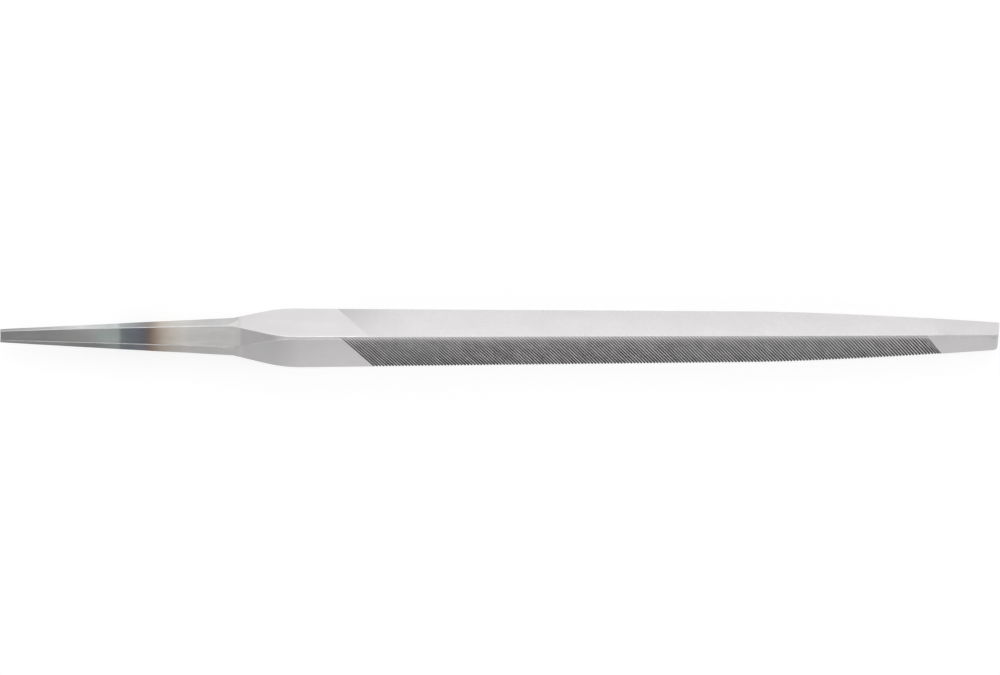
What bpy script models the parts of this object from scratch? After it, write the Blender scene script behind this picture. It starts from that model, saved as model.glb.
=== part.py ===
# Triangular saw file: one bar of tool steel with a tang, a flared shoulder,
# a smooth heel, three single-cut faces and a tapered point.
# +X runs to the point, +Z is up. The file lies on one flat with an edge upward,
# and the origin is at the bottom centre of its box.
import math

import bmesh
import bpy
from mathutils import Vector

MM = 0.001

# Lengths, with stations measured along the axis from the shoulder
TANG_LENGTH = 45.6 * MM
BODY_LENGTH = 150.0 * MM
FLARE_LENGTH = 9.4 * MM  # to where the flare's slope would meet the full width
FLARE_ROUND = 3.4 * MM  # the flare is rounded this far to either side of that
BELLY_START = 103.0 * MM  # the even taper ends here and the curve to the point begins

# Widths over two blunted edges
TIP_WIDTH = 2.65 * MM
ROOT_WIDTH = 7.4 * MM
HEEL_WIDTH = 11.55 * MM
BELLY_WIDTH = 10.0 * MM
POINT_WIDTH = 5.35 * MM

# Flats that blunt the three edges
TIP_FLAT = 1.85 * MM
ROOT_FLAT = 4.25 * MM
EDGE_FLAT = 0.7 * MM

# The forged tang stands a little to one side of the ground body
TANG_SHIFT = 0.3 * MM

# The two ends: the tang's tip is rounded all round its rim, and the point is ground
# a little askew, with one worn corner and two crisp ones
TIP_ROUND = 0.3 * MM
POINT_SKEW = 0.5 * MM  # how much shorter the worn side of the point is
WORN_ROUND = 0.85 * MM
CRISP_ROUND = 0.2 * MM

# Teeth, one row of parallel grooves on each face
TOOTH_PITCH = 0.645 * MM  # along the axis
TOOTH_LAND = 0.12 * MM  # flat left on each crest, across the groove
CUT_START = 23.6 * MM  # station of the first groove at the middle of the first face
CUT_STAGGER = 1.0 * MM  # each further face starts this much later
CUT_END = 137.3 * MM
CUT_OVERRUN = 0.03 * MM  # how far a cutter stands over its face and runs past its edges

FACES = 3
FRONT_ANGLE = math.radians(75)  # cutting side of a tooth, which looks to the point
BACK_ANGLE = math.radians(30)
HEEL_CUT_ANGLE = math.radians(60.4)  # between groove and axis, at the first groove
POINT_CUT_ANGLE = math.radians(65.8)  # and at the last
FADING_GROOVES = 4  # the last grooves grow shallower one by one
FLARE_STEPS = 5
BELLY_STEPS = 8
BELLY_POWER = 1.5  # at 1 the belly would be a straight taper, at 2 a parabola
ROUND_STEPS = 2

QUARTER_TURN = math.pi / 2
SQRT_3 = math.sqrt(3)
FULL_STATION = FLARE_LENGTH + FLARE_ROUND
TAPER = (HEEL_WIDTH - BELLY_WIDTH) / (BELLY_START - FULL_STATION)
SHOULDER_X = TANG_LENGTH - (TANG_LENGTH + BODY_LENGTH) / 2


def blend(first, last, share):
    return first + (last - first) * share


def radial(angle):
    return Vector((0, math.cos(angle), math.sin(angle)))


# Width of the evenly tapered bar, as if it ran on at both ends
def bar_width(station):
    return HEEL_WIDTH - TAPER * (station - FULL_STATION)


# The bar lies with its bottom flat on the ground, so its axis slopes gently to the point
def axis_point(station):
    height = (bar_width(station) + EDGE_FLAT) / (2 * SQRT_3)
    aside = TANG_SHIFT * min(max(1 - station / FULL_STATION, 0), 1)
    return Vector((SHOULDER_X + station, aside, height))


def belly_width(station):
    length = BODY_LENGTH - BELLY_START
    drop = bar_width(BODY_LENGTH) - POINT_WIDTH
    return bar_width(station) - drop * ((station - BELLY_START) / length) ** BELLY_POWER


def body_width(station):
    return belly_width(station) if station > BELLY_START else bar_width(station)


# The rounded part of the flare is a curve that starts along the slope and ends level
def flare_curve(share):
    station = FULL_STATION - 2 * FLARE_ROUND * (1 - share)
    slope = (HEEL_WIDTH - ROOT_WIDTH) / FLARE_LENGTH
    return station, HEEL_WIDTH - slope * FLARE_ROUND * (1 - share) ** 2


# Each section is a station, the width over two edges and the flat on each edge
def sections():
    root_side = ROOT_WIDTH + ROOT_FLAT
    heel_side = HEEL_WIDTH + EDGE_FLAT
    found = [(-TANG_LENGTH, TIP_WIDTH, TIP_FLAT), (0, ROOT_WIDTH, ROOT_FLAT)]
    for step in range(FLARE_STEPS + 1):
        station, width = flare_curve(step / FLARE_STEPS)
        side = blend(root_side, heel_side, station / FULL_STATION)
        found.append((station, width, side - width))
    for step in range(BELLY_STEPS + 1):
        station = blend(BELLY_START, BODY_LENGTH, step / BELLY_STEPS)
        found.append((station, body_width(station), EDGE_FLAT))
    return found


# Three blunted corners, the first pointing up
def section_points(station, width, flat):
    centre = axis_point(station)
    reach = (width + flat) / SQRT_3 - flat * SQRT_3 / 2
    points = []
    for corner in range(FACES):
        angle = QUARTER_TURN + 2 * math.pi * corner / FACES
        along = radial(angle + QUARTER_TURN)
        for side in (-1, 1):
            points.append(centre + radial(angle) * reach + along * flat * side / 2)
    return points


def new_object(name, mesh, collection, material):
    data = bpy.data.meshes.new(name)
    bmesh.ops.recalc_face_normals(mesh, faces=mesh.faces)
    mesh.to_mesh(data)
    mesh.free()
    data.materials.append(material)
    made = bpy.data.objects.new(name, data)
    collection.objects.link(made)
    return made


# A rounding is held to the room that its faces leave
def round_edges(mesh, edges, radius):
    bmesh.ops.bevel(
        mesh,
        geom=edges,
        offset=radius,
        segments=ROUND_STEPS,
        profile=0.5,
        affect="EDGES",
        clamp_overlap=True,
    )


# The last section slides back along the bar's own edges, so that every flat stays flat
def skew_end(ring, before):
    for vertex, inner in zip(ring, before):
        setback = POINT_SKEW * (0.5 - vertex.co.y / POINT_WIDTH)
        vertex.co += (inner.co - vertex.co) * setback / (vertex.co.x - inner.co.x)


# The bar is a loft through the sections, closed and rounded at both ends
def file_bar(collection, material):
    mesh = bmesh.new()
    rings = [[mesh.verts.new(point) for point in section_points(*found)] for found in sections()]
    skew_end(rings[-1], rings[-2])
    for ring, following in zip(rings, rings[1:]):
        for corner in range(len(ring)):
            near, far = corner - 1, corner
            mesh.faces.new((ring[near], ring[far], following[far], following[near]))
    tip = mesh.faces.new(rings[0])
    mesh.faces.new(rings[-1])
    bmesh.ops.recalc_face_normals(mesh, faces=mesh.faces)
    corners = [mesh.edges.get(pair) for pair in zip(rings[-1][::2], rings[-1][1::2])]
    for edge, radius in zip(corners, (CRISP_ROUND, WORN_ROUND, CRISP_ROUND)):
        round_edges(mesh, [edge], radius)
    round_edges(mesh, list(tip.edges), TIP_ROUND)
    return new_object("file_body", mesh, collection, material)


# A place on a face: along the axis, across the face and above it
def face_point(face, station, across, above):
    outward = QUARTER_TURN - math.pi / FACES + 2 * math.pi * face / FACES
    distance = (body_width(station) + EDGE_FLAT) / (2 * SQRT_3) + above
    aside = radial(outward + QUARTER_TURN)
    return axis_point(station) + radial(outward) * distance + aside * across


# One groove is a lopsided V, steep on the side of the tooth that cuts
def add_groove(mesh, face, station, angle, depth):
    half = (body_width(station) + EDGE_FLAT) / 2 + CUT_OVERRUN
    run = half / math.tan(angle)
    height = depth + CUT_OVERRUN
    steep = height / math.tan(FRONT_ANGLE) / math.sin(angle)
    gentle = height / math.tan(BACK_ANGLE) / math.sin(angle)
    start = face_point(face, station - run, -half, 0)
    end = face_point(face, station + run, half, 0)
    outward = face_point(face, station, 0, 1) - face_point(face, station, 0, 0)
    corners = [
        start - outward * depth,
        start + outward * CUT_OVERRUN + Vector((gentle, 0, 0)),
        start + outward * CUT_OVERRUN - Vector((steep, 0, 0)),
    ]
    profile = mesh.faces.new([mesh.verts.new(corner) for corner in corners])
    swept = bmesh.ops.extrude_face_region(mesh, geom=[profile])["geom"]
    moved = [item for item in swept if isinstance(item, bmesh.types.BMVert)]
    bmesh.ops.translate(mesh, verts=moved, vec=end - start)


def groove_cutter(face, collection, material):
    mesh = bmesh.new()
    first = CUT_START + face * CUT_STAGGER
    grooves = int((CUT_END - first) / TOOTH_PITCH) + 1
    for groove in range(grooves):
        angle = blend(HEEL_CUT_ANGLE, POINT_CUT_ANGLE, groove / grooves)
        opening = TOOTH_PITCH * math.sin(angle) - TOOTH_LAND
        depth = opening / (1 / math.tan(FRONT_ANGLE) + 1 / math.tan(BACK_ANGLE))
        fade = min((grooves - groove) / FADING_GROOVES, 1)
        add_groove(mesh, face, first + groove * TOOTH_PITCH, angle, depth * fade)
    made = new_object(f"groove_cutter_{face + 1}", mesh, collection, material)
    made.hide_render = True
    made.display_type = "WIRE"
    return made


def cut_teeth(body, collection, material):
    for face in range(FACES):
        cut = body.modifiers.new(f"teeth_{face + 1}", "BOOLEAN")
        cut.operation = "DIFFERENCE"
        cut.solver = "EXACT"
        cut.material_mode = "TRANSFER"
        cut.object = groove_cutter(face, collection, material)


def steel(name, colour, roughness):
    material = bpy.data.materials.new(name)
    material.use_nodes = True
    shader = material.node_tree.nodes["Principled BSDF"]
    shader.inputs["Base Color"].default_value = (*colour, 1)
    shader.inputs["Roughness"].default_value = roughness
    shader.inputs["Metallic"].default_value = 1
    material.diffuse_color = (*colour, 1)
    return material


def new_collection(name):
    collection = bpy.data.collections.new(name)
    bpy.context.scene.collection.children.link(collection)
    return collection


def main():
    for old in list(bpy.data.objects):
        bpy.data.objects.remove(old, do_unlink=True)
    parts = new_collection("triangular_saw_file")
    cutters = new_collection("cutters")
    ground_steel = steel("ground_steel", (0.56, 0.55, 0.55), 0.38)
    cut_steel = steel("cut_steel", (0.24, 0.235, 0.235), 0.45)
    body = file_bar(parts, ground_steel)
    cut_teeth(body, cutters, cut_steel)


main()
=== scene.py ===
import math
import random

import bmesh
import bpy
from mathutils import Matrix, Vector, noise


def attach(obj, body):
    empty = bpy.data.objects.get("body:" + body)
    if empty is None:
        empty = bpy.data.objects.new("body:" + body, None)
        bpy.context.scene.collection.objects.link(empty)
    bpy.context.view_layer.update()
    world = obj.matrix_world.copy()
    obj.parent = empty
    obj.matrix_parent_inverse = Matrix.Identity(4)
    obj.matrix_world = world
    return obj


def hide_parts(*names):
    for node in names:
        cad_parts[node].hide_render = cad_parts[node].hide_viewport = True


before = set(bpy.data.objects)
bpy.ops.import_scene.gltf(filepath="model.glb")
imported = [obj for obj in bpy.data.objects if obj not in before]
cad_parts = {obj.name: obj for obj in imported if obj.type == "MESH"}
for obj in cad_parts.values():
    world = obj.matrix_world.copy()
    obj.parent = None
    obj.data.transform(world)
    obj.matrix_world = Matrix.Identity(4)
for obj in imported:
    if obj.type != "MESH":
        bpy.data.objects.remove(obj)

mm = 0.001
root3 = math.sqrt(3)
cornersPerSection = 3
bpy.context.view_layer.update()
print("frame loaded")


# What a user would change on the file's shape, in millimetres
fileShape = {
    "tangLength": 45.6,
    "bodyLength": 150.0,
    "flareLength": 9.4,
    "flareRound": 3.4,
    "bellyStart": 103.0,
    "bellyPower": 1.5,
    "tipWidth": 2.65,
    "rootWidth": 7.4,
    "heelWidth": 11.55,
    "bellyWidth": 10.0,
    "pointWidth": 5.35,
    "tipFlat": 1.85,
    "rootFlat": 4.25,
    "edgeFlat": 0.64,
    "tangShift": 0.3,
    "tipRound": 0.3,
    "pointInset": 0.015,
    "pointSkew": 0.36,
    "wornRound": 0.8,
    "crispRound": 0.2,
    "bodyEdges": (0.11, 0.09, 0.06, 0.06, 0.06, 0.06),
    "tangEdges": (0.1, 0.1, 0.07, 0.07, 0.07, 0.07),
    "tangUnevenness": 0.05,
    "tangLean": 0.28,
    "tangTopShift": 0.1,
    "tangSettle": 6,  # the tang's unevenness dies out this far before the shoulder
    "tangTopEase": 10,  # and the top edge's shift this far from the tip
    "tangWaves": 0.16,
    "edgeFlatness": 0.4,
    "tangSteps": 26,
    "flareSteps": 12,
    "bellySteps": 24,
    "endRoundSteps": 5,
}

fullStation = fileShape["flareLength"] + fileShape["flareRound"]
shoulderX = (fileShape["tangLength"] - fileShape["bodyLength"]) / 2
pointsPerEdge = 3  # round each of the six blunt corners


def blend(first, last, share):
    return first + (last - first) * share


def radial(angle):
    return Vector((0, math.cos(angle), math.sin(angle)))


# The way that one of the three faces looks
def faceAngle(face):
    return math.pi / 2 - math.pi / cornersPerSection + 2 * math.pi * face / cornersPerSection


# Width over two blunted edges of the evenly tapered bar
def barWidth(station):
    heel, belly = fileShape["heelWidth"], fileShape["bellyWidth"]
    taper = (heel - belly) / (fileShape["bellyStart"] - fullStation)
    return heel - taper * (station - fullStation)


def bodyWidth(station):
    start, length = fileShape["bellyStart"], fileShape["bodyLength"]
    share = max(station - start, 0) / (length - start)
    drop = barWidth(length) - fileShape["pointWidth"]
    return barWidth(station) - drop * share ** fileShape["bellyPower"]


# The file lies on one flat, so its axis slopes gently to the point
def axisPoint(station):
    height = (barWidth(station) + fileShape["edgeFlat"]) / (2 * root3)
    aside = fileShape["tangShift"] * min(max(1 - station / fullStation, 0), 1)
    return Vector((shoulderX + station, aside, height))


# Each section is a station, the width over two edges and the flat on each edge
def fileSections():
    shape = fileShape
    found = []
    for step in range(shape["tangSteps"]):
        share = step / shape["tangSteps"]
        width = blend(shape["tipWidth"], shape["rootWidth"], share)
        flat = blend(shape["tipFlat"], shape["rootFlat"], share)
        found.append((-shape["tangLength"] * (1 - share), width, flat))
    rootSide = shape["rootWidth"] + shape["rootFlat"]
    heelSide = shape["heelWidth"] + shape["edgeFlat"]
    slope = (shape["heelWidth"] - shape["rootWidth"]) / shape["flareLength"]
    curveStart = fullStation - 2 * shape["flareRound"]
    for step in range(shape["flareSteps"] + 1):
        station = fullStation * step / shape["flareSteps"]
        if station < curveStart:
            width = shape["rootWidth"] + slope * station
        else:
            left = (fullStation - station) / (2 * shape["flareRound"])
            width = shape["heelWidth"] - slope * shape["flareRound"] * left ** 2
        side = blend(rootSide, heelSide, station / fullStation)
        found.append((station, width, side - width))
    for step in range(shape["bellySteps"]):
        station = blend(shape["bellyStart"], shape["bodyLength"], step / shape["bellySteps"])
        found.append((station, bodyWidth(station), shape["edgeFlat"]))
    return found


# The tang is forged, so it leans a little and its facets wander
def tangWander(station, corner, side):
    if station >= 0:
        return Vector((0, 0, 0))
    shape = fileShape
    settled = -station / shape["tangSettle"]
    size = shape["tangUnevenness"] * min(settled, 1)
    # the places are far apart in the noise, so no two corners wander alike
    place = Vector((station * shape["tangWaves"], corner * 7.3 + side * 2.1, 0))
    lean = Vector((0, -station / shape["tangLength"] * shape["tangLean"], 0))
    if corner == 0:
        fromTip = (station + shape["tangLength"]) / shape["tangTopEase"]
        lean.y += shape["tangTopShift"] * min(settled, fromTip, 1)
    rise = noise.noise(place + Vector((0, 0, 31)))
    return lean + Vector((0, noise.noise(place), rise)) * size


# Three points round each of the six blunt corners, the first two at the top edge
def sectionPoints(station, width, flat):
    centre = axisPoint(station)
    reach = (width + flat) / root3 - flat * root3 / 2
    blunt = []
    for corner in range(cornersPerSection):
        angle = math.pi / 2 + 2 * math.pi * corner / cornersPerSection
        along = radial(angle + math.pi / 2)
        for side in (-1, 1):
            place = centre + radial(angle) * reach + along * flat * side / 2
            blunt.append(place + tangWander(station, corner, side))
    tangShare = min(max(1 - station / fullStation, 0), 1)
    rounded = []
    for index, place in enumerate(blunt):
        soft = blend(fileShape["bodyEdges"][index], fileShape["tangEdges"][index], tangShare)
        before = (blunt[index - 1] - place).normalized() * soft
        after = (blunt[(index + 1) % len(blunt)] - place).normalized() * soft
        middle = (before + after) * fileShape["edgeFlatness"]
        rounded += [place + before, place + middle, place + after]
    return rounded


# The point is ground a little askew and rounded over, most of all at one worn corner
def pointRings():
    shape = fileShape
    steps = shape["endRoundSteps"]
    end = shape["bodyLength"] - shape["pointInset"]
    wornMiddle, wornReach = 8.5, 0.9  # the worn corner's points are 6 to 11
    rings = []
    for step in range(steps + 1):
        turn = math.pi / 2 * step / steps
        ring = []
        for index in range(2 * pointsPerEdge * cornersPerSection):
            fromWorn = abs(index - wornMiddle) / pointsPerEdge
            crispness = min(max(fromWorn - wornReach, 0), 1)
            radius = blend(shape["wornRound"], shape["crispRound"], crispness)
            station = end - radius * (1 - math.sin(turn))
            for _ in range(2):  # the setback moves the point, so its width is found again
                point = sectionPoints(station, bodyWidth(station), shape["edgeFlat"])[index]
                setback = shape["pointSkew"] * (0.5 - point.y / shape["pointWidth"])
                station = end - setback - radius * (1 - math.sin(turn))
            inward = axisPoint(station) - point
            ring.append(point + inward.normalized() * radius * (1 - math.cos(turn)))
        rings.append(ring)
    return rings


def newObject(name, mesh):
    data = bpy.data.meshes.new(name)
    bmesh.ops.recalc_face_normals(mesh, faces=mesh.faces)
    bmesh.ops.scale(mesh, vec=(mm, mm, mm), verts=mesh.verts)
    mesh.to_mesh(data)
    mesh.free()
    made = bpy.data.objects.new(name, data)
    bpy.context.scene.collection.objects.link(made)
    return made


# Faces of the bar take slot 0, the narrow faces that round its edges take slot 1
def fileBar():
    mesh = bmesh.new()
    outlines = [sectionPoints(*found) for found in fileSections()] + pointRings()
    rings = [[mesh.verts.new(point) for point in outline] for outline in outlines]
    for ring, following in zip(rings, rings[1:]):
        for far in range(len(ring)):
            face = mesh.faces.new((ring[far - 1], ring[far], following[far], following[far - 1]))
            face.material_index = 1 if far % pointsPerEdge else 0
    tip = mesh.faces.new(rings[0])
    mesh.faces.new(rings[-1])
    bmesh.ops.recalc_face_normals(mesh, faces=mesh.faces)
    bmesh.ops.bevel(
        mesh, geom=list(tip.edges), offset=fileShape["tipRound"], material=1,
        segments=fileShape["endRoundSteps"], profile=0.5, affect="EDGES", clamp_overlap=True,
    )
    return newObject("fileSteel", mesh)


# What a user would change on the teeth, in millimetres and degrees
fileTeeth = {
    "pitch": 0.645,
    "land": 0.1,
    "cutStart": 23.6,
    "cutStagger": 1.0,
    "cutEnd": 138.2,
    "overrun": 0.05,
    "frontAngle": 75,
    "backAngle": 30,
    "heelCutAngle": 60.4,
    "pointCutAngle": 65.8,
    "fadingGrooves": 4,
    "fadedDepth": 0.36,
    "closing": 0.6,  # share of the pitch by which the last groove has closed up
    "fanAngle": 3,
    "nickedFace": 1,
    "nickReach": 0.46,
    "nickDepth": 0.075,
    "nickJitter": 0.4,
    "startDepth": 0.62,  # of a groove beside its nick, as a share of its depth
    "segments": 7,
    "depthJitter": 0.10,
    "lineJitter": 0.014,
    "seed": 11,
}


# A place on a face: along the axis, across the face and above it
def facePoint(face, station, across, above):
    outward = faceAngle(face)
    distance = (bodyWidth(station) + fileShape["edgeFlat"]) / (2 * root3) + above
    aside = radial(outward + math.pi / 2)
    return axisPoint(station) + radial(outward) * distance + aside * across


# The three corners of a lopsided V, steep on the side of the tooth that cuts
def grooveSection(place, above, angle, deep):
    height = deep + fileTeeth["overrun"]
    steep = height / math.tan(math.radians(fileTeeth["frontAngle"])) / math.sin(angle)
    gentle = height / math.tan(math.radians(fileTeeth["backAngle"])) / math.sin(angle)
    brim = place + above * fileTeeth["overrun"]
    return place - above * deep, brim + Vector((gentle, 0, 0)), brim - Vector((steep, 0, 0))


# On one face the grooves start with a nick in the top edge, and all wander a little on the way
def addGroove(mesh, face, station, angle, depth, chance):
    teeth = fileTeeth
    flat = fileShape["edgeFlat"]
    outward = faceAngle(face)
    nicked = face == teeth["nickedFace"]
    sections = []
    end = (bodyWidth(station) + flat) / 2 + teeth["overrun"]
    start = -end
    if nicked:
        start = (flat - bodyWidth(station + start / math.tan(angle))) / 2
        upward, over = radial(outward - math.pi / 3), radial(outward - math.radians(150))
        here = station + (start - 2 * teeth["nickReach"]) / math.tan(angle)  # straight from above
        nick = facePoint(face, here, (flat - bodyWidth(here)) / 2, 0) + over * teeth["nickReach"]
        deep = teeth["nickDepth"] * (1 + chance.uniform(-1, 1) * teeth["nickJitter"])
        sections.append(grooveSection(nick, upward, angle, deep))
    for step in range(teeth["segments"] + 1):
        across = blend(start, end, step / teeth["segments"])
        here = station + across / math.tan(angle) + chance.uniform(-1, 1) * teeth["lineJitter"]
        deep = depth * (1 + chance.uniform(-1, 1) * teeth["depthJitter"])
        if step == 0 and nicked:
            deep *= teeth["startDepth"]
        place = facePoint(face, here, across, 0)
        sections.append(grooveSection(place, radial(outward), angle, deep))
    rings = [[mesh.verts.new(corner) for corner in section] for section in sections]
    mesh.faces.new(rings[0])
    mesh.faces.new(rings[-1])
    for ring, following in zip(rings, rings[1:]):
        for far in range(len(ring)):
            mesh.faces.new((ring[far - 1], ring[far], following[far], following[far - 1]))


# The last grooves grow shallower, close up and fan out
def grooveCutter(face, chance):
    teeth = fileTeeth
    mesh = bmesh.new()
    first = teeth["cutStart"] + face * teeth["cutStagger"]
    grooves = int((teeth["cutEnd"] - first) / teeth["pitch"]) + 1
    fall = sum(1 / math.tan(math.radians(teeth[side])) for side in ("frontAngle", "backAngle"))
    closed = 0
    for groove in range(grooves):
        angle = math.radians(blend(teeth["heelCutAngle"], teeth["pointCutAngle"], groove / grooves))
        station = first + groove * teeth["pitch"] - closed
        fading = max(1 - (grooves - 1 - groove) / teeth["fadingGrooves"], 0)
        closed += teeth["pitch"] * teeth["closing"] * fading
        fanned = angle + math.radians(teeth["fanAngle"]) * fading
        half = (bodyWidth(station) + fileShape["edgeFlat"]) / 2
        station += half / math.tan(fanned) - half / math.tan(angle)
        depth = (teeth["pitch"] * math.sin(angle) - teeth["land"]) / fall
        depth *= 1 - fading * (1 - teeth["fadedDepth"])
        addGroove(mesh, face, station, fanned, depth, chance)
    return newObject(f"grooveCutter{face + 1}", mesh)


def cutTeeth(bar, material):
    chance = random.Random(fileTeeth["seed"])
    cutters = []
    for face in range(cornersPerSection):
        cutter = grooveCutter(face, chance)
        cutter.data.materials.append(material)
        cutters.append(cutter)
        cut = bar.modifiers.new(cutter.name, "BOOLEAN")
        cut.operation = "DIFFERENCE"
        cut.solver = "EXACT"
        cut.use_self = True  # grooves that wander may run into each other
        cut.material_mode = "TRANSFER"
        cut.object = cutter
    bpy.context.view_layer.update()
    shaped = bar.evaluated_get(bpy.context.evaluated_depsgraph_get())
    bar.data = bpy.data.meshes.new_from_object(shaped)
    bar.modifiers.clear()
    for cutter in cutters:
        bpy.data.objects.remove(cutter, do_unlink=True)


# How the surfaces are told apart, in millimetres, degrees and parts of a direction
surfaceLimits = {
    "tangEnd": 0.8,  # past the shoulder
    "fullDepth": 0.22,  # of a groove
    "frontFacesPoint": 0.3,
    "sideFacesOut": 0.25,
    "undersideFacesDown": 0.75,
    "sharpAngle": 20,
}


# How far each point lies under the three faces, as 0 on a face and 1 at a full groove's bottom
def markDepth(bar):
    depths = bar.data.attributes.new("grooveDepth", "FLOAT", "POINT")
    facings = [radial(faceAngle(face)) for face in range(cornersPerSection)]
    for index, vertex in enumerate(bar.data.vertices):
        place = vertex.co / mm
        station = place.x - shoulderX
        if station < fullStation:
            continue
        centre = axisPoint(station)
        reach = (bodyWidth(station) + fileShape["edgeFlat"]) / (2 * root3)
        highest = max((place - centre).dot(facing) for facing in facings)
        depth = (reach - highest) / surfaceLimits["fullDepth"]
        depths.data[index].value = min(max(depth, 0), 1)


# Which side of the file a face is on: 1 towards +Y, -1 towards -Y, 0 on the top edge and below
def markSides(bar):
    sides = bar.data.attributes.new("fileSide", "FLOAT", "FACE")
    toothSlots = (slotNames.index("toothBack"), slotNames.index("toothFront"))
    facings = [radial(faceAngle(face)) for face in range(cornersPerSection)]
    for index, polygon in enumerate(bar.data.polygons):
        outward = polygon.normal
        if polygon.material_index in toothSlots:  # a tooth takes the side of its face
            fromAxis = polygon.center / mm - axisPoint(polygon.center.x / mm - shoulderX)
            outward = max(facings, key=fromAxis.dot)
        facesOut = abs(outward.y) > surfaceLimits["sideFacesOut"] * outward.length
        facesDown = outward.z <= -surfaceLimits["undersideFacesDown"] * outward.length
        if facesOut and not facesDown:
            sides.data[index].value = math.copysign(1, outward.y)


# What a user would change on the finish. Colours are for metal, so they are also its mirror colour
steelFinish = {
    "ground": (0.75, 0.733, 0.738),
    "groundRoughness": 0.3,
    # the edges' lighter colour is a painted highlight
    "edge": (0.9, 0.89, 0.89),
    "edgeRoughness": 0.28,
    "back": (0.82, 0.803, 0.808),
    "backRoughness": 0.36,
    # the fronts' dark colour is painted shade in the grooves
    "front": (0.112, 0.107, 0.108),
    "frontRoughness": 0.5,
    "tangRoughness": 0.42,
    # painted light: the grey that the tang's upper side is mixed towards, and how far
    "tangLitSide": (0.62, 0.62, 0.62),
    "tangLitSideShare": 0.33,
    "tangGroundFrom": 6.2,  # millimetres before the shoulder, on the upper side
    "tangGroundBrighter": 0.22,
    # painted shade past the start of the cut on the upper side, and the length over which it fades
    "firstTeethDulled": 0.22,
    "firstTeethFade": 12,  # millimetres
}

# Painted light and shade: the tone of each side by the share of the way from the tang's tip to the
# point; the upper side, towards the lamp, is painted lighter, the lower side darker, and stretches
# of each side lighter or darker as the light falls on them
sideLightAndShade = {
    "up": [
        (0.02, 0.98), (0.058, 1.25), (0.082, 1.5), (0.108, 1.14), (0.12, 1.18), (0.14, 0.89),
        (0.152, 0.8), (0.16, 0.92), (0.182, 0.87), (0.2385, 0.83), (0.2387, 0.96), (0.243, 0.95),
        (0.27, 0.99), (0.38, 1.02), (0.9, 1.01), (0.945, 0.96),
    ],
    "middle": [
        (0.0, 1.05), (0.045, 0.95), (0.085, 1.0), (0.11, 0.95), (0.12, 0.9), (0.136, 0.97),
        (0.148, 0.88), (0.164, 1.02), (0.2, 1.0), (0.238, 1.01), (0.24, 0.785), (0.272, 0.765),
        (0.285, 1.08), (0.92, 1.0), (0.95, 1.06), (0.99, 1.0),
    ],
    "low": [
        (0.02, 0.76), (0.06, 0.69), (0.1, 0.43), (0.118, 0.5), (0.14, 0.8), (0.165, 0.62),
        (0.18, 0.59), (0.236, 0.615), (0.245, 0.55), (0.275, 0.56), (0.3, 0.675), (0.34, 0.71),
        (0.95, 0.695),
    ],
}
# Painted highlight along the upper edges and painted shade along the lower ones, by the same share
# of the length
edgeGlintAndShade = {
    "up": [
        (0.0, 0.6), (0.055, 0.75), (0.1, 0.68), (0.135, 0.66), (0.19, 0.88), (0.255, 0.79),
        (0.29, 0.96), (0.36, 1.1), (0.9, 1.1), (0.94, 0.74),
    ],
    "middle": [(0.0, 0.8), (1.0, 0.8)],
    "low": [
        (0.0, 0.4), (0.06, 0.46), (0.1, 0.5), (0.2, 0.56), (0.235, 0.56), (0.242, 0.85),
        (0.262, 0.92), (0.29, 0.64), (0.93, 0.6), (0.95, 0.54),
    ],
}


def newMaterial(name):
    material = bpy.data.materials.new(name)
    material.use_nodes = True
    shader = material.node_tree.nodes["Principled BSDF"]
    shader.inputs["Metallic"].default_value = 1
    return material, material.node_tree.nodes, material.node_tree.links


def newGroup(name, inputs, outputs):
    group = bpy.data.node_groups.new(name, "ShaderNodeTree")
    for socket, kind, value in inputs:
        made = group.interface.new_socket(socket, in_out="INPUT", socket_type=kind)
        made.default_value = value
    for socket, kind in outputs:
        group.interface.new_socket(socket, in_out="OUTPUT", socket_type=kind)
    return group, group.nodes.new("NodeGroupInput"), group.nodes.new("NodeGroupOutput")


def useGroup(nodes, group, **values):
    placed = nodes.new("ShaderNodeGroup")
    placed.node_tree = group
    for name, value in values.items():
        placed.inputs[name].default_value = value
    return placed


def mathNode(nodes, links, operation, first, second, clamp=False):
    made = nodes.new("ShaderNodeMath")
    made.operation = operation
    made.use_clamp = clamp
    for socket, value in zip(made.inputs, (first, second)):
        if isinstance(value, (int, float)):
            socket.default_value = value
        else:
            links.new(value, socket)
    return made.outputs[0]


def mixColours(nodes, links, share, first, second):
    made = nodes.new("ShaderNodeMix")
    made.data_type = "RGBA"
    # an RGBA mix has its factor at 0 and its colours at 6 and 7, and puts its result out at 2
    for index, value in ((0, share), (6, first), (7, second)):
        if isinstance(value, tuple):
            made.inputs[index].default_value = (*value, 1)
        else:
            links.new(value, made.inputs[index])
    return made.outputs[2]


def rangeNode(nodes, links, value, low, high, newLow, newHigh):
    made = nodes.new("ShaderNodeMapRange")
    links.new(value, made.inputs["Value"])
    names = ("From Min", "From Max", "To Min", "To Max")
    for name, number in zip(names, (low, high, newLow, newHigh)):
        made.inputs[name].default_value = number
    return made.outputs[0]


def multiplyAll(nodes, links, *tones):
    product = tones[0]
    for tone in tones[1:]:
        product = mathNode(nodes, links, "MULTIPLY", product, tone)
    return product


def scaleColour(nodes, links, colour, tone):
    made = nodes.new("ShaderNodeVectorMath")
    made.operation = "SCALE"
    if isinstance(colour, tuple):
        made.inputs[0].default_value = colour
    else:
        links.new(colour, made.inputs[0])
    links.new(tone, made.inputs["Scale"])
    return made.outputs[0]


# Stops are a position and a colour, or a position and a tone
def rampNode(nodes, links, value, stops):
    ramp = nodes.new("ShaderNodeValToRGB")
    elements = ramp.color_ramp.elements
    while len(elements) < len(stops):
        elements.new(1)
    for element, (position, colour) in zip(elements, stops):
        element.position = position
        element.color = (*colour, 1) if isinstance(colour, tuple) else (*[colour] * 3, 1)
    links.new(value, ramp.inputs["Fac"])
    return ramp.outputs["Color"]


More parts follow.
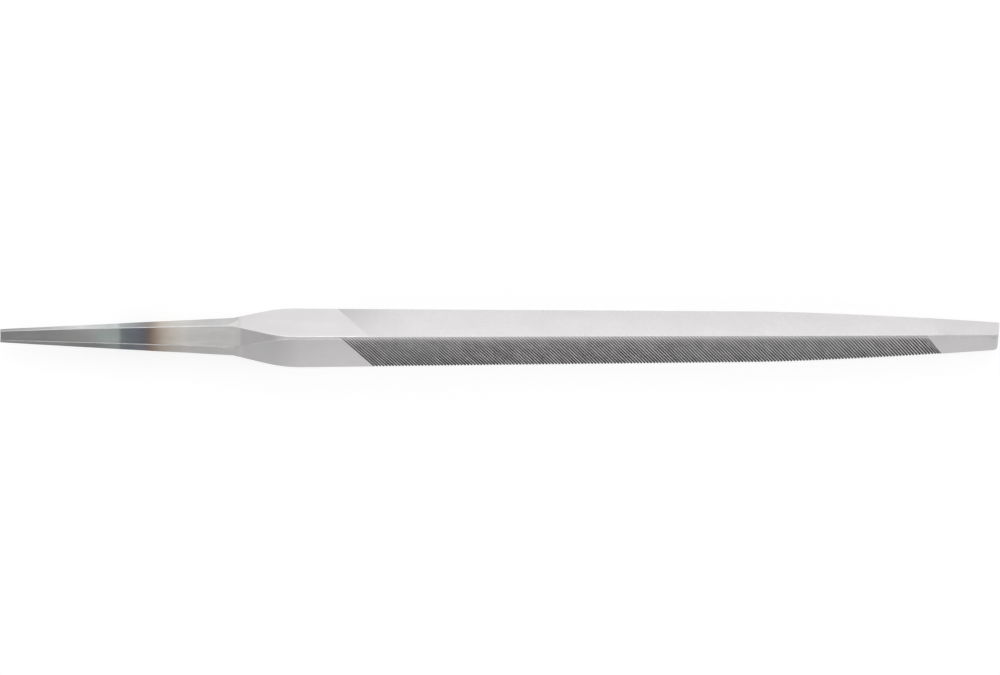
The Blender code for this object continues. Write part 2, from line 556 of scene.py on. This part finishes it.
# Where a point of the object is, in metres, as X, Y and Z
def placeParts(nodes, links):
    place = nodes.new("ShaderNodeTexCoord")
    split = nodes.new("ShaderNodeSeparateXYZ")
    links.new(place.outputs["Object"], split.inputs[0])
    return split.outputs


# Fine scratches of a grinding wheel, long one way and narrow the other
def makeGrindGroup():
    group, given, out = newGroup(
        "grindMarks",
        [("Along", "NodeSocketVector", (30, 1400, 1400)), ("Depth", "NodeSocketFloat", 0.02)],
        [("Mark", "NodeSocketFloat"), ("Normal", "NodeSocketVector")],
    )
    nodes, links = group.nodes, group.links
    place = nodes.new("ShaderNodeTexCoord")
    stretched = nodes.new("ShaderNodeVectorMath")
    stretched.operation = "MULTIPLY"
    links.new(place.outputs["Object"], stretched.inputs[0])
    links.new(given.outputs["Along"], stretched.inputs[1])
    lines = nodes.new("ShaderNodeTexNoise")
    lines.inputs["Scale"].default_value = 1
    lines.inputs["Detail"].default_value = 3
    lines.inputs["Roughness"].default_value = 0.6
    links.new(stretched.outputs[0], lines.inputs["Vector"])
    mark = rangeNode(nodes, links, lines.outputs["Fac"], 0.3, 0.7, 0, 1)
    bump = nodes.new("ShaderNodeBump")
    bump.inputs["Distance"].default_value = 0.03 * mm
    links.new(given.outputs["Depth"], bump.inputs["Strength"])
    links.new(mark, bump.inputs["Height"])
    links.new(mark, out.inputs["Mark"])
    links.new(bump.outputs[0], out.inputs["Normal"])
    return group


# Slow clouds of tone, as handling and old oil leave on steel
def makeCloudGroup():
    group, given, out = newGroup(
        "steelClouds",
        [
            ("Size", "NodeSocketFloat", 120),
            ("Low", "NodeSocketFloat", 0.9),
            ("High", "NodeSocketFloat", 1),
        ],
        [("Tone", "NodeSocketFloat")],
    )
    nodes, links = group.nodes, group.links
    place = nodes.new("ShaderNodeTexCoord")
    clouds = nodes.new("ShaderNodeTexNoise")
    clouds.inputs["Detail"].default_value = 4
    clouds.inputs["Roughness"].default_value = 0.55
    links.new(place.outputs["Object"], clouds.inputs["Vector"])
    links.new(given.outputs["Size"], clouds.inputs["Scale"])
    share = rangeNode(nodes, links, clouds.outputs["Fac"], 0.3, 0.7, 0, 1)
    spread = mathNode(nodes, links, "SUBTRACT", given.outputs["High"], given.outputs["Low"])
    tone = mathNode(nodes, links, "MULTIPLY", share, spread)
    links.new(mathNode(nodes, links, "ADD", tone, given.outputs["Low"]), out.inputs["Tone"])
    return group


# Where a point is: its share of the length, and how far it is on the upper or lower side
def makePlaceGroup():
    group, given, out = newGroup(
        "filePlace", [("Shift", "NodeSocketFloat", 0)],
        [("Share", "NodeSocketFloat"), ("Up", "NodeSocketFloat"), ("Low", "NodeSocketFloat")],
    )
    nodes, links = group.nodes, group.links
    place = placeParts(nodes, links)
    along = mathNode(nodes, links, "ADD", place["X"], given.outputs["Shift"])
    tip = (shoulderX - fileShape["tangLength"]) * mm
    point = (shoulderX + fileShape["bodyLength"]) * mm
    links.new(rangeNode(nodes, links, along, tip, point, 0, 1), out.inputs["Share"])
    side = nodes.new("ShaderNodeAttribute")
    side.attribute_name = "fileSide"
    for name, sign in (("Up", 1), ("Low", -1)):
        mask = mathNode(nodes, links, "MULTIPLY", side.outputs["Fac"], sign, clamp=True)
        links.new(mask, out.inputs[name])
    return group


# Painted light and shade: one tone for each of the three sides, each changing along the file
def makeLightAndShadeGroup(name, tones):
    group, _, out = newGroup(name, [], [("Tone", "NodeSocketFloat")])
    nodes, links = group.nodes, group.links
    place = useGroup(nodes, placeGroup)
    ramps = {side: rampNode(nodes, links, place.outputs["Share"], tones[side]) for side in tones}
    tone = mixColours(nodes, links, place.outputs["Up"], ramps["middle"], ramps["up"])
    tone = mixColours(nodes, links, place.outputs["Low"], tone, ramps["low"])
    links.new(tone, out.inputs["Tone"])
    return group


# Painted light and shade that changes evenly from the ground to the top edge
def makeHeightShadeGroup():
    group, given, out = newGroup(
        "heightShade", [("Bottom", "NodeSocketFloat", 1), ("Top", "NodeSocketFloat", 1)],
        [("Tone", "NodeSocketFloat")],
    )
    nodes, links = group.nodes, group.links
    top = 10 * mm
    share = rangeNode(nodes, links, placeParts(nodes, links)["Z"], 0, top, 0, 1)
    spread = mathNode(nodes, links, "SUBTRACT", given.outputs["Top"], given.outputs["Bottom"])
    rise = mathNode(nodes, links, "MULTIPLY", share, spread)
    links.new(mathNode(nodes, links, "ADD", rise, given.outputs["Bottom"]), out.inputs["Tone"])
    return group


# Painted shade on the upper side where the cut begins, fading along the file and deepest at its
# outer edge
def makeStartShadeGroup():
    group, given, out = newGroup(
        "cutStartShade", [("Dulled", "NodeSocketFloat", 0.2), ("Fade", "NodeSocketFloat", 0.012)],
        [("Tone", "NodeSocketFloat")],
    )
    nodes, links = group.nodes, group.links
    where = useGroup(nodes, placeGroup)
    place = placeParts(nodes, links)
    # a groove leans twice as far when it is seen from above, and its face is half as wide
    lean = 2 / math.tan(math.radians(fileTeeth["heelCutAngle"]))
    half = (barWidth(fileTeeth["cutStart"]) + fileShape["edgeFlat"]) / 4
    slant = mathNode(nodes, links, "MULTIPLY", place["Y"], lean)
    row = mathNode(nodes, links, "ADD", place["X"], slant)
    first = (shoulderX + fileTeeth["cutStart"] + half * lean) * mm
    past = mathNode(nodes, links, "SUBTRACT", row, first)
    share = mathNode(nodes, links, "DIVIDE", past, given.outputs["Fade"], clamp=True)
    fading = mathNode(nodes, links, "SUBTRACT", 1, share)
    begun = rangeNode(nodes, links, past, -0.1 * mm, 0, 0, 1)
    outer = rangeNode(nodes, links, place["Y"], 0.5 * mm, 5.5 * mm, 0.35, 1)
    masks = (fading, begun, outer, where.outputs["Up"], given.outputs["Dulled"])
    shaded = multiplyAll(nodes, links, *masks)
    links.new(mathNode(nodes, links, "SUBTRACT", 1, shaded), out.inputs["Tone"])
    return group


def useStartShade(nodes):
    finish = steelFinish
    return useGroup(
        nodes, startShadeGroup, Dulled=finish["firstTeethDulled"], Fade=finish["firstTeethFade"] * mm,
    )


# Painted light and shade: one tone for the lower side, away from the lamp, and another for the rest
def pickSideShade(nodes, links, rest, low):
    where = useGroup(nodes, placeGroup)
    return mixColours(
        nodes, links, where.outputs["Low"], rest.outputs["Tone"], low.outputs["Tone"],
    )


# Colour and roughness of a steel share the same marks
def finishSteel(material, colour, tone, grind, rough, spread):
    nodes, links = material.node_tree.nodes, material.node_tree.links
    shader = nodes["Principled BSDF"]
    links.new(scaleColour(nodes, links, colour, tone), shader.inputs["Base Color"])
    marked = rangeNode(nodes, links, grind.outputs["Mark"], 0, 1, 1 - spread, 1 + spread)
    links.new(mathNode(nodes, links, "MULTIPLY", marked, rough), shader.inputs["Roughness"])
    links.new(grind.outputs["Normal"], shader.inputs["Normal"])
    return material


def groundSteelMaterial():
    material, nodes, links = newMaterial("groundSteel")
    grind = useGroup(nodes, grindGroup, Along=(40, 1500, 1500), Depth=0.03)
    clouds = useGroup(nodes, cloudGroup, Size=110, Low=0.955, High=1.025)
    # painted light: the lower side grows lighter towards the ground, the other sides a little
    # darker there
    rising = useGroup(nodes, heightShadeGroup, Bottom=0.98, Top=1.02)
    falling = useGroup(nodes, heightShadeGroup, Bottom=1.09, Top=0.98)
    height = pickSideShade(nodes, links, rising, falling)
    # painted light and shade by side and along the file
    sideShade = useGroup(nodes, facetShadeGroup)
    # painted shade where the cut begins on the upper side
    startShade = useStartShade(nodes)
    streak = rangeNode(nodes, links, grind.outputs["Mark"], 0, 1, 0.975, 1.01)
    tones = (clouds.outputs["Tone"], height, sideShade.outputs["Tone"], startShade.outputs["Tone"], streak)
    tone = multiplyAll(nodes, links, *tones)
    rough = steelFinish["groundRoughness"]
    return finishSteel(material, steelFinish["ground"], tone, grind, rough, 0.1)


# The edges are lighter with a painted highlight above and darker with painted shade below, changing
# along the file, and their tone differs at random, a little more in some places than in others
def edgeSteelMaterial():
    material, nodes, links = newMaterial("edgeSteel")
    grind = useGroup(nodes, grindGroup, Along=(150, 900, 900), Depth=0.02)
    clouds = useGroup(nodes, cloudGroup, Size=350, Low=0.88, High=1)
    # painted highlight above and painted shade below, along the file
    edges = useGroup(nodes, edgeGlintGroup)
    sparkle = useGroup(nodes, cloudGroup, Size=1500, Low=0.82, High=1.03)
    tones = (clouds.outputs["Tone"], edges.outputs["Tone"], sparkle.outputs["Tone"])
    tone = multiplyAll(nodes, links, *tones)
    rough = steelFinish["edgeRoughness"]
    return finishSteel(material, steelFinish["edge"], tone, grind, rough, 0.15)


# The chisel leaves the backs bright; painted shade darkens the first teeth of the upper side
def toothBackMaterial():
    material, nodes, links = newMaterial("toothBack")
    grind = useGroup(nodes, grindGroup, Along=(900, 500, 500), Depth=0.04)
    clouds = useGroup(nodes, cloudGroup, Size=160, Low=0.965, High=1.02)
    # painted shade: the backs grow darker towards the ground, most of all on the lower side
    even = useGroup(nodes, heightShadeGroup, Bottom=0.95, Top=1.03)
    steep = useGroup(nodes, heightShadeGroup, Bottom=0.8, Top=1.08)
    height = pickSideShade(nodes, links, even, steep)
    streak = rangeNode(nodes, links, grind.outputs["Mark"], 0, 1, 0.97, 1.02)
    # painted shade where the cut begins on the upper side
    startShade = useStartShade(nodes)
    tone = multiplyAll(nodes, links, clouds.outputs["Tone"], height, startShade.outputs["Tone"], streak)
    rough = steelFinish["backRoughness"]
    return finishSteel(material, steelFinish["back"], tone, grind, rough, 0.12)


# The cutting sides are dark with painted shade, darkest at the root of each groove and towards the
# ground
def toothFrontMaterial():
    material, nodes, links = newMaterial("toothFront")
    depth = nodes.new("ShaderNodeAttribute")
    depth.attribute_name = "grooveDepth"
    grind = useGroup(nodes, grindGroup, Along=(900, 500, 500), Depth=0.04)
    clouds = useGroup(nodes, cloudGroup, Size=500, Low=0.75, High=1.3)
    # painted shade: the fronts grow darker towards the ground
    height = useGroup(nodes, heightShadeGroup, Bottom=0.6, Top=1.45)
    # painted shade: darker towards each groove's root
    root = rangeNode(nodes, links, depth.outputs["Fac"], 0, 1, 1.5, 0.7)
    tone = multiplyAll(nodes, links, clouds.outputs["Tone"], height.outputs["Tone"], root)
    rough = steelFinish["frontRoughness"]
    return finishSteel(material, steelFinish["front"], tone, grind, rough, 0.1)


# Temper colours that the hardening heat left on the tang, by the share of the whole length
temperColours = [
    (0.0, (0.31, 0.31, 0.31)),
    (0.055, (0.335, 0.335, 0.335)),
    (0.09, (0.4, 0.4, 0.395)),
    (0.105, (0.46, 0.505, 0.495)),
    (0.1175, (0.47, 0.52, 0.51)),
    (0.1195, (0.28, 0.32, 0.32)),
    (0.127, (0.21, 0.24, 0.26)),
    (0.141, (0.19, 0.19, 0.22)),
    (0.147, (0.21, 0.18, 0.185)),
    (0.152, (0.34, 0.255, 0.2)),
    (0.161, (0.56, 0.48, 0.4)),
    (0.17, (0.68, 0.62, 0.56)),
    (0.183, (0.765, 0.74, 0.715)),
    (0.205, (0.71, 0.7, 0.695)),
]


# The tang's colours are painted paler on its upper side, as painted light on the side towards the
# lamp
def tangSteelMaterial():
    material, nodes, links = newMaterial("tangSteel")
    grind = useGroup(nodes, grindGroup, Along=(110, 900, 900), Depth=0.08)
    clouds = useGroup(nodes, cloudGroup, Size=170, Low=0.92, High=1.06)
    wobble = useGroup(nodes, cloudGroup, Size=300, Low=-0.25 * mm, High=0.25 * mm)
    # painted light and shade by side and along the file
    sideShade = useGroup(nodes, facetShadeGroup)
    where = useGroup(nodes, placeGroup)
    links.new(wobble.outputs["Tone"], where.inputs["Shift"])
    temper = rampNode(nodes, links, where.outputs["Share"], temperColours)
    finish = steelFinish
    up = where.outputs["Up"]
    # painted light on the upper side, towards the lamp
    litShare = mathNode(nodes, links, "MULTIPLY", up, finish["tangLitSideShare"])
    colour = mixColours(nodes, links, litShare, temper, finish["tangLitSide"])
    streak = rangeNode(nodes, links, grind.outputs["Mark"], 0, 1, 0.94, 1.05)
    # the grinding starts along a slanting line on the upper side
    place = placeParts(nodes, links)
    slant = mathNode(nodes, links, "MULTIPLY", place["Y"], -2)
    past = mathNode(nodes, links, "ADD", place["X"], slant)
    line, softness = (shoulderX - finish["tangGroundFrom"]) * mm, 0.2 * mm
    brighter = finish["tangGroundBrighter"]
    ground = rangeNode(nodes, links, past, line, line + softness, 0, brighter)
    ground = mathNode(nodes, links, "MULTIPLY", ground, up)
    ground = mathNode(nodes, links, "ADD", ground, 1)
    tone = multiplyAll(nodes, links, clouds.outputs["Tone"], sideShade.outputs["Tone"], streak, ground)
    rough = rangeNode(
        nodes, links, where.outputs["Share"], 0.2, 0.235,
        finish["tangRoughness"], finish["groundRoughness"],
    )
    return finishSteel(material, colour, tone, grind, rough, 0.12)


grindGroup = makeGrindGroup()
cloudGroup = makeCloudGroup()
heightShadeGroup = makeHeightShadeGroup()
placeGroup = makePlaceGroup()
facetShadeGroup = makeLightAndShadeGroup("facetLightAndShade", sideLightAndShade)
edgeGlintGroup = makeLightAndShadeGroup("edgeGlintAndShade", edgeGlintAndShade)
startShadeGroup = makeStartShadeGroup()
print("finishes ready")

fileSteel = fileBar()
barSteels = [groundSteelMaterial(), edgeSteelMaterial()]
toothSteels = [toothBackMaterial(), toothFrontMaterial()]
for steel in barSteels:
    fileSteel.data.materials.append(steel)
cutTeeth(fileSteel, toothSteels[0])
fileSteel.data.materials.append(toothSteels[1])
fileSteel.data.materials.append(tangSteelMaterial())
slotNames = [steel.name for steel in fileSteel.data.materials]


# The tang's forged skin ends just past the shoulder, and each tooth has a back and a front
def shareOutSteels(bar):
    for polygon in bar.data.polygons:
        station = polygon.center.x / mm - shoulderX
        slot = slotNames[polygon.material_index]
        if station < surfaceLimits["tangEnd"] and slot == "groundSteel":
            polygon.material_index = slotNames.index("tangSteel")
        if slot == "toothBack" and polygon.normal.x > surfaceLimits["frontFacesPoint"]:
            polygon.material_index = slotNames.index("toothFront")
        polygon.use_smooth = True


shareOutSteels(fileSteel)
markDepth(fileSteel)
markSides(fileSteel)
fileSteel.data.set_sharp_from_angle(angle=math.radians(surfaceLimits["sharpAngle"]))
print("file shaped:", len(fileSteel.data.polygons), "faces", slotNames)

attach(fileSteel, "root")
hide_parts("file_body")


# What a user would change on the studio, in metres, watts and degrees
studio = {
    "floorSize": 4.0,
    "floorColour": (0.36, 0.36, 0.36),
    "floorLift": 0.75,
    "lampDistance": 1.0,
    "key": {"power": 1.6, "size": (1.4, 0.9), "side": 1, "elevation": 34},
    "fill": {"power": 1.0, "size": (0.7, 0.4), "side": -1, "elevation": 32},
    "skyOverhead": 0.66,
    "skyTowardsBack": 0.2,
    "viewWidth": 0.1957,
    "viewCentre": (0.00005, -0.00003, 0),
    "viewDistance": 0.6,
    "viewTilt": -0.3,
    "viewRoll": -0.15,
}


# The paper's own light is for what is seen or mirrored, so the object keeps its plain light
def makeFloor():
    half = studio["floorSize"] / 2
    corners = [(-half, -half, 0), (half, -half, 0), (half, half, 0), (-half, half, 0)]
    data = bpy.data.meshes.new("floor")
    data.from_pydata(corners, [], [(0, 1, 2, 3)])
    floor = bpy.data.objects.new("floor", data)
    bpy.context.scene.collection.objects.link(floor)
    material = bpy.data.materials.new("floorPaper")
    material.use_nodes = True
    nodes, links = material.node_tree.nodes, material.node_tree.links
    nodes.clear()
    output = nodes.new("ShaderNodeOutputMaterial")
    paper = nodes.new("ShaderNodeBsdfDiffuse")
    paper.inputs["Color"].default_value = (*studio["floorColour"], 1)
    rays = nodes.new("ShaderNodeLightPath")
    camera, glossy = rays.outputs["Is Camera Ray"], rays.outputs["Is Glossy Ray"]
    seen = mathNode(nodes, links, "ADD", camera, glossy)
    seen = mathNode(nodes, links, "ADD", seen, rays.outputs["Is Transmission Ray"], clamp=True)
    glow = nodes.new("ShaderNodeEmission")
    strength = mathNode(nodes, links, "MULTIPLY", seen, studio["floorLift"])
    links.new(strength, glow.inputs["Strength"])
    both = nodes.new("ShaderNodeAddShader")
    links.new(paper.outputs[0], both.inputs[0])
    links.new(glow.outputs[0], both.inputs[1])
    links.new(both.outputs[0], output.inputs["Surface"])
    data.materials.append(material)


def makeSky():
    world = bpy.data.worlds.new("studioSky")
    bpy.context.scene.world = world
    world.use_nodes = True
    nodes, links = world.node_tree.nodes, world.node_tree.links
    nodes.clear()
    output = nodes.new("ShaderNodeOutputWorld")
    background = nodes.new("ShaderNodeBackground")
    background.inputs["Color"].default_value = (1, 1, 1, 1)
    places = nodes.new("ShaderNodeTexCoord")
    split = nodes.new("ShaderNodeSeparateXYZ")
    links.new(places.outputs["Generated"], split.inputs[0])
    back = mathNode(nodes, links, "MULTIPLY", split.outputs["Y"], studio["skyTowardsBack"])
    strength = mathNode(nodes, links, "ADD", back, studio["skyOverhead"])
    links.new(strength, background.inputs["Strength"])
    links.new(background.outputs[0], output.inputs["Surface"])


def makeLamp(name):
    asked = studio[name]
    data = bpy.data.lights.new(name, "AREA")
    data.shape = "RECTANGLE"
    data.size, data.size_y = asked["size"]
    data.energy = asked["power"]
    lamp = bpy.data.objects.new(name, data)
    bpy.context.scene.collection.objects.link(lamp)
    rise = math.radians(asked["elevation"])
    direction = Vector((0, asked["side"] * math.cos(rise), math.sin(rise)))
    lamp.location = direction * studio["lampDistance"]
    lamp.rotation_euler = direction.to_track_quat("Z", "Y").to_euler()


def makeCamera():
    data = bpy.data.cameras.new("camera")
    data.type = "ORTHO"
    data.ortho_scale = studio["viewWidth"]
    camera = bpy.data.objects.new("camera", data)
    bpy.context.scene.collection.objects.link(camera)
    tilt, roll = math.radians(studio["viewTilt"]), math.radians(studio["viewRoll"])
    camera.rotation_euler = (tilt, 0, roll)
    view = camera.rotation_euler.to_matrix() @ Vector((0, 0, 1))
    camera.location = Vector(studio["viewCentre"]) + view * studio["viewDistance"]
    bpy.context.scene.camera = camera


makeFloor()
makeSky()
makeLamp("key")
makeLamp("fill")
makeCamera()
bpy.context.scene.view_settings.view_transform = "Standard"
print("studio set")
